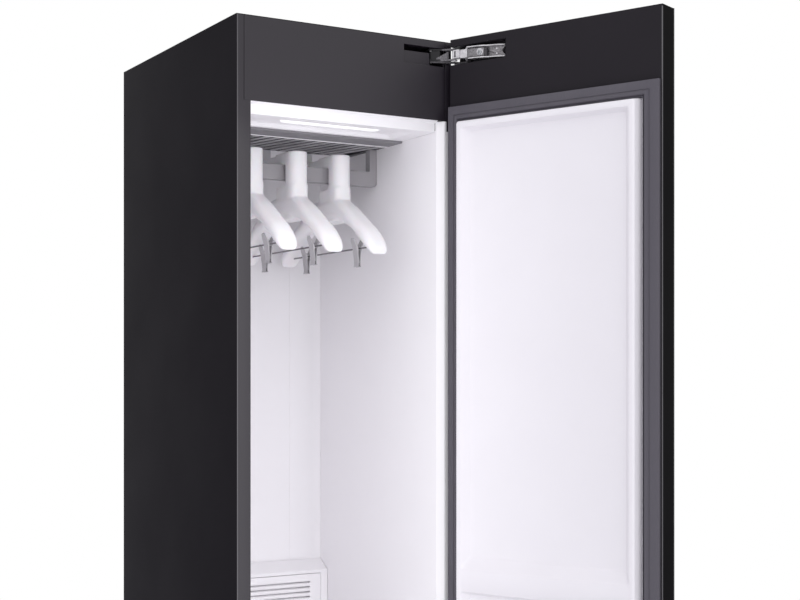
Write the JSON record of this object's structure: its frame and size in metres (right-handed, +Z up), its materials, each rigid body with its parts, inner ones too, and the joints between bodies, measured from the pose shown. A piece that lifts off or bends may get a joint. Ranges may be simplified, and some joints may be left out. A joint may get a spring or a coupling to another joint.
{
  "type": "clothes care steam cabinet",
  "caption": "Tall free-standing clothes care steam cabinet with an open hinged door, hanging rail, air hangers with trouser clips, water tanks and louvred back.",
  "frame": {"origin": "on the floor under the middle of the cabinet's footprint, door not counted", "axes": "+X to the right seen from the front, +Y towards the back, +Z up"},
  "size_m": [0.6367, 0.9986, 1.85],
  "materials": {
    "dark_steel": "satin powder coat",
    "satin_facia": "satin",
    "galvanised": "galvanised sheet",
    "white_liner": "soft gloss",
    "white_moulding": "satin",
    "grey_grille": "satin",
    "rail_grey": "satin",
    "foam": "foam",
    "lens": "frosted",
    "black_plastic": "satin",
    "gasket_grey": "soft",
    "door_glass": "gloss",
    "display": "smoked",
    "tank": "clear satin",
    "tank_cap": "satin",
    "clip_grey": "satin",
    "chrome": "bright",
    "dark_metal": "rough",
    "fins": "bare",
    "board": "circuit board",
    "rubber_foot": "soft"
  },
  "bodies": {
    "cabinet": {"base_tray": "galvanised", "left_side_panel": "dark_steel", "right_side_panel": "dark_steel", "top_panel": "dark_steel", "rear_panel": "galvanised", "header_facia": "satin_facia", "lower_facia": "satin_facia", "liner_left_wall": "white_liner", "liner_right_wall": "white_liner", "liner_back_wall": "white_liner", "liner_ceiling": "white_liner", "liner_floor": "white_liner", "wall_insulation": "foam", "lamp_lens": "lens", "ceiling_grille": "grey_grille", "hanger_nozzles": "white_moulding", "air_plenum": "white_moulding", "upper_fan_motor": "dark_metal", "hanging_rail": "rail_grey", "rear_louvre_cover": "white_liner", "steam_generator": "galvanised", "compressor": "dark_metal", "heat_exchangers": "fins", "circulation_fan_housing": "black_plastic", "control_board": "board", "power_inlet": "black_plastic", "hinge_brackets": "chrome"},
    "door": {"door_outer_panel": "door_glass", "door_frame": "black_plastic", "door_liner": "white_liner", "door_gasket": "gasket_grey", "door_display": "display", "door_insulation": "foam", "hinge_arms": "chrome"},
    "upper_fan_wheel": {"upper_fan_wheel": "black_plastic"},
    "lint_filter": {"lint_filter": "white_liner"},
    "water_tank": {"water_tank": "tank"},
    "water_tank_cap": {"water_tank_cap": "tank_cap"},
    "drain_tank": {"drain_tank": "tank"},
    "drain_tank_cap": {"drain_tank_cap": "tank_cap"},
    "circulation_fan_wheel": {"circulation_fan_wheel": "black_plastic"},
    "front_left_foot": {"front_left_foot": "rubber_foot"},
    "front_right_foot": {"front_right_foot": "rubber_foot"},
    "upper_hinge_link": {"upper_hinge_link": "dark_metal"},
    "lower_hinge_link": {"lower_hinge_link": "dark_metal"},
    "hanger_1": {"hanger_1": "white_moulding"},
    "clip_1_front": {"clip_1_front_leg": "clip_grey"},
    "clip_1_front_jaw": {"clip_1_front_jaw": "clip_grey"},
    "clip_1_rear": {"clip_1_rear_leg": "clip_grey"},
    "clip_1_rear_jaw": {"clip_1_rear_jaw": "clip_grey"},
    "hanger_2": {"hanger_2": "white_moulding"},
    "clip_2_front": {"clip_2_front_leg": "clip_grey"},
    "clip_2_front_jaw": {"clip_2_front_jaw": "clip_grey"},
    "clip_2_rear": {"clip_2_rear_leg": "clip_grey"},
    "clip_2_rear_jaw": {"clip_2_rear_jaw": "clip_grey"},
    "hanger_3": {"hanger_3": "white_moulding"},
    "clip_3_front": {"clip_3_front_leg": "clip_grey"},
    "clip_3_front_jaw": {"clip_3_front_jaw": "clip_grey"},
    "clip_3_rear": {"clip_3_rear_leg": "clip_grey"},
    "clip_3_rear_jaw": {"clip_3_rear_jaw": "clip_grey"}
  },
  "joints": [
    {"name": "door_hinge", "type": "hinge", "parent": "cabinet", "child": "door", "pos_m": [0.2165, -0.305, 0.925], "axis": [0, 0, 1], "range_deg": [-112, 0]},
    {"name": "upper_hinge_link_pivot", "type": "hinge", "parent": "cabinet", "child": "upper_hinge_link", "pos_m": [0.18104, -0.2773, 1.8098], "axis": [0, 0, 1], "range_deg": [-28, 0]},
    {"name": "lower_hinge_link_pivot", "type": "hinge", "parent": "cabinet", "child": "lower_hinge_link", "pos_m": [0.18104, -0.2773, 0.0628], "axis": [0, 0, 1], "range_deg": [-28, 0]},
    {"name": "hanger_1_lift", "type": "slide", "parent": "cabinet", "child": "hanger_1", "axis": [0, 0, 1], "range_m": [0, 0.0105]},
    {"name": "clip_1_front_slide", "type": "slide", "parent": "hanger_1", "child": "clip_1_front", "axis": [0, 1, 0], "range_m": [0, 0.04]},
    {"name": "clip_1_front_pinch", "type": "hinge", "parent": "clip_1_front", "child": "clip_1_front_jaw", "pos_m": [-0.095, -0.146, 1.4633], "axis": [0, -1, 0], "range_deg": [0, 20], "stiffness_Nm_per_rad": 0.03, "springref_deg": -22.92},
    {"name": "clip_1_rear_slide", "type": "slide", "parent": "hanger_1", "child": "clip_1_rear", "axis": [0, 1, 0], "range_m": [-0.04, 0]},
    {"name": "clip_1_rear_pinch", "type": "hinge", "parent": "clip_1_rear", "child": "clip_1_rear_jaw", "pos_m": [-0.095, 0.07, 1.4633], "axis": [0, -1, 0], "range_deg": [0, 20], "stiffness_Nm_per_rad": 0.03, "springref_deg": -22.92},
    {"name": "hanger_2_lift", "type": "slide", "parent": "cabinet", "child": "hanger_2", "axis": [0, 0, 1], "range_m": [0, 0.0105]},
    {"name": "clip_2_front_slide", "type": "slide", "parent": "hanger_2", "child": "clip_2_front", "axis": [0, 1, 0], "range_m": [0, 0.04]},
    {"name": "clip_2_front_pinch", "type": "hinge", "parent": "clip_2_front", "child": "clip_2_front_jaw", "pos_m": [0, -0.146, 1.4633], "axis": [0, -1, 0], "range_deg": [0, 20], "stiffness_Nm_per_rad": 0.03, "springref_deg": -22.92},
    {"name": "clip_2_rear_slide", "type": "slide", "parent": "hanger_2", "child": "clip_2_rear", "axis": [0, 1, 0], "range_m": [-0.04, 0]},
    {"name": "clip_2_rear_pinch", "type": "hinge", "parent": "clip_2_rear", "child": "clip_2_rear_jaw", "pos_m": [0, 0.07, 1.4633], "axis": [0, -1, 0], "range_deg": [0, 20], "stiffness_Nm_per_rad": 0.03, "springref_deg": -22.92},
    {"name": "hanger_3_lift", "type": "slide", "parent": "cabinet", "child": "hanger_3", "axis": [0, 0, 1], "range_m": [0, 0.0105]},
    {"name": "clip_3_front_slide", "type": "slide", "parent": "hanger_3", "child": "clip_3_front", "axis": [0, 1, 0], "range_m": [0, 0.04]},
    {"name": "clip_3_front_pinch", "type": "hinge", "parent": "clip_3_front", "child": "clip_3_front_jaw", "pos_m": [0.095, -0.146, 1.4633], "axis": [0, -1, 0], "range_deg": [0, 20], "stiffness_Nm_per_rad": 0.03, "springref_deg": -22.92},
    {"name": "clip_3_rear_slide", "type": "slide", "parent": "hanger_3", "child": "clip_3_rear", "axis": [0, 1, 0], "range_m": [-0.04, 0]},
    {"name": "clip_3_rear_pinch", "type": "hinge", "parent": "clip_3_rear", "child": "clip_3_rear_jaw", "pos_m": [0.095, 0.07, 1.4633], "axis": [0, -1, 0], "range_deg": [0, 20], "stiffness_Nm_per_rad": 0.03, "springref_deg": -22.92},
    {"name": "water_tank_pull", "type": "slide", "parent": "cabinet", "child": "water_tank", "axis": [0, -1, 0], "range_m": [0, 0.25]},
    {"name": "water_tank_cap_turn", "type": "hinge", "parent": "water_tank", "child": "water_tank_cap", "pos_m": [-0.0968, -0.215, 0.375], "axis": [0, 0, 1], "range_deg": [0, 90]},
    {"name": "drain_tank_pull", "type": "slide", "parent": "cabinet", "child": "drain_tank", "axis": [0, -1, 0], "range_m": [0, 0.25]},
    {"name": "drain_tank_cap_turn", "type": "hinge", "parent": "drain_tank", "child": "drain_tank_cap", "pos_m": [0.0968, -0.215, 0.375], "axis": [0, 0, 1], "range_deg": [0, 90]},
    {"name": "lint_filter_pull", "type": "slide", "parent": "cabinet", "child": "lint_filter", "axis": [0, -1, 0], "range_m": [0, 0.25]},
    {"name": "upper_fan_spin", "type": "hinge", "parent": "cabinet", "child": "upper_fan_wheel", "pos_m": [0, -0.0415, 1.738], "axis": [0, 0, 1], "continuous": true},
    {"name": "circulation_fan_spin", "type": "hinge", "parent": "cabinet", "child": "circulation_fan_wheel", "pos_m": [0.11075, 0.1585, 0.055], "axis": [0, 0, 1], "continuous": true},
    {"name": "front_left_foot_screw", "type": "slide", "parent": "cabinet", "child": "front_left_foot", "axis": [0, 0, 1], "range_m": [-0.012, 0]},
    {"name": "front_right_foot_screw", "type": "slide", "parent": "cabinet", "child": "front_right_foot", "axis": [0, 0, 1], "range_m": [-0.012, 0]}
  ],
  "couplings": [
    {"joint": "upper_hinge_link_pivot", "follows": "door_hinge", "ratio": 0.24668},
    {"joint": "lower_hinge_link_pivot", "follows": "door_hinge", "ratio": 0.24668}
  ]
}
